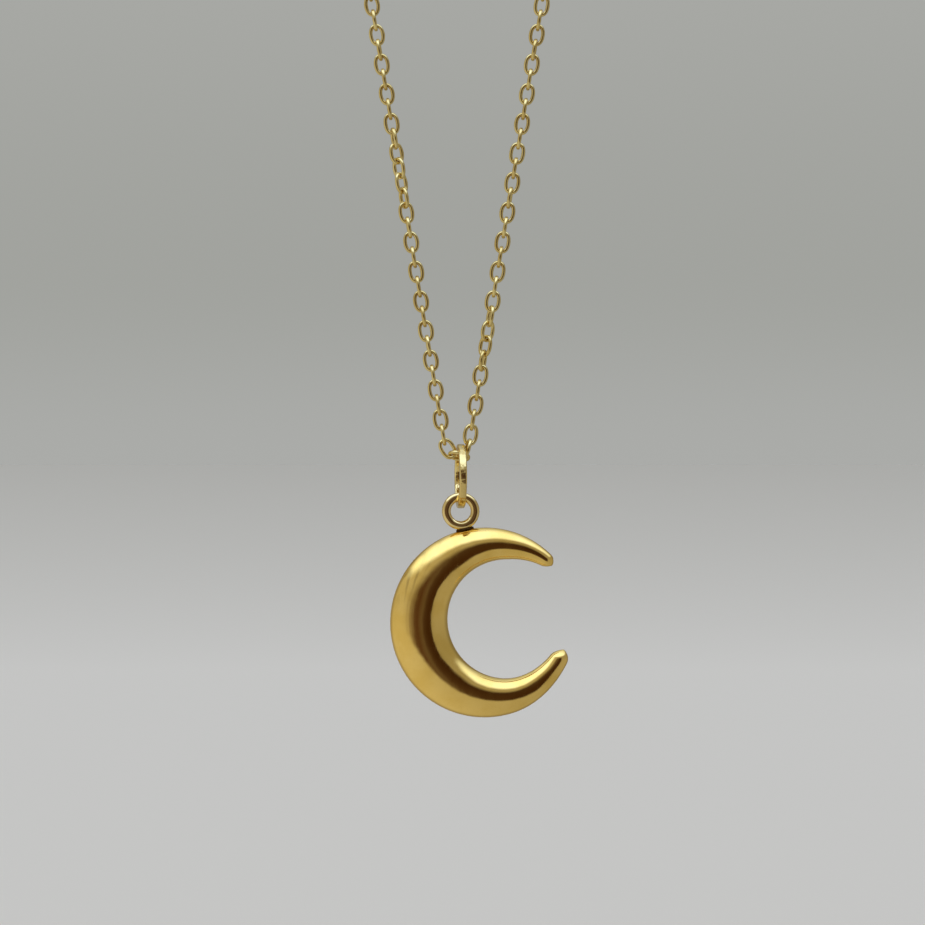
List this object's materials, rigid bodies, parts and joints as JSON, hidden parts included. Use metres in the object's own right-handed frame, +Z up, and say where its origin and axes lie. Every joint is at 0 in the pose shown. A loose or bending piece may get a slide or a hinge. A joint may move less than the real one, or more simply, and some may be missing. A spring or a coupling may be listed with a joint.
{
  "type": "pendant necklace",
  "caption": "Fine cable chain necklace with a puffed crescent moon pendant on a jump ring, closed by a small sprung lobster clasp.",
  "frame": {"origin": "midway between the centres of the two pegs the necklace hangs from", "axes": "+Z up, +X to the viewer's right, -Y towards the viewer; the pendant's face looks along -Y"},
  "size_m": [0.0654, 0.0066, 0.2199],
  "materials": {
    "gold": "polished gold plating",
    "chain_gold": "polished gold plating",
    "solder": "tarnished solder",
    "steel": "drawn wire"
  },
  "bodies": {
    "top_chain": {"left_peg_links": "chain_gold", "right_peg_links": "chain_gold", "left_run_links": "chain_gold", "right_run_links": "chain_gold"},
    "chain_6": {"left_chain_6": "chain_gold", "right_chain_6": "chain_gold"},
    "chain_5": {"left_chain_5": "chain_gold", "right_chain_5": "chain_gold"},
    "chain_4": {"left_chain_4": "chain_gold", "right_chain_4": "chain_gold"},
    "chain_3": {"left_chain_3": "chain_gold", "right_chain_3": "chain_gold"},
    "chain_2": {"left_chain_2": "chain_gold", "right_chain_2": "chain_gold"},
    "chain_1": {"left_chain_1": "chain_gold", "right_chain_1": "chain_gold"},
    "chain_tail": {"left_tail_links": "chain_gold", "right_tail_links": "chain_gold", "bottom_link": "chain_gold"},
    "ring": {"jump_ring": "gold"},
    "pendant": {"crescent": "gold", "eye_ring": "gold", "solder_joint": "solder"},
    "clasp": {"end_ring": "gold", "clasp_ring": "gold", "clasp_body": "gold", "clasp_pin": "steel", "clasp_spring": "steel"},
    "lever": {"clasp_lever": "gold"}
  },
  "joints": [
    {"name": "chain_sway_6", "type": "hinge", "parent": "top_chain", "child": "chain_6", "pos_m": [0, 0, -0.00577], "axis": [1, 0, 0], "range_deg": [-15, 15]},
    {"name": "chain_sway_5", "type": "hinge", "parent": "chain_6", "child": "chain_5", "pos_m": [0, 0, -0.03241], "axis": [1, 0, 0], "range_deg": [-8, 8]},
    {"name": "chain_sway_4", "type": "hinge", "parent": "chain_5", "child": "chain_4", "pos_m": [0, 0, -0.06201], "axis": [1, 0, 0], "range_deg": [-8, 8]},
    {"name": "chain_sway_3", "type": "hinge", "parent": "chain_4", "child": "chain_3", "pos_m": [0, 0, -0.09161], "axis": [1, 0, 0], "range_deg": [-8, 8]},
    {"name": "chain_sway_2", "type": "hinge", "parent": "chain_3", "child": "chain_2", "pos_m": [0, 0, -0.1212], "axis": [1, 0, 0], "range_deg": [-8, 8]},
    {"name": "chain_sway_1", "type": "hinge", "parent": "chain_2", "child": "chain_1", "pos_m": [0, 0, -0.1508], "axis": [1, 0, 0], "range_deg": [-8, 8]},
    {"name": "tail_sway", "type": "hinge", "parent": "chain_1", "child": "chain_tail", "pos_m": [0, 0, -0.1806], "axis": [1, 0, 0], "range_deg": [-8, 8]},
    {"name": "ring_swing", "type": "hinge", "parent": "chain_tail", "child": "ring", "pos_m": [0.00039, -0.00017, -0.18761], "axis": [0.9819, 0, -0.1893], "range_deg": [-3, 30]},
    {"name": "pendant_swing", "type": "hinge", "parent": "ring", "child": "pendant", "pos_m": [0.00039, -0.00017, -0.19285], "axis": [-0.0872, 0.9962, 0], "range_deg": [-35, 35]},
    {"name": "clasp_rock", "type": "hinge", "parent": "top_chain", "child": "clasp", "pos_m": [0, 0, 0.00271], "axis": [1, 0, 0], "range_deg": [-15, 15]},
    {"name": "lever_open", "type": "hinge", "parent": "clasp", "child": "lever", "pos_m": [-0.00135, 0, 0.00383], "axis": [0, 1, 0], "range_deg": [0, 20], "stiffness_Nm_per_rad": 0.002, "springref_deg": -14.32, "deforming": ["clasp_spring"]}
  ]
}
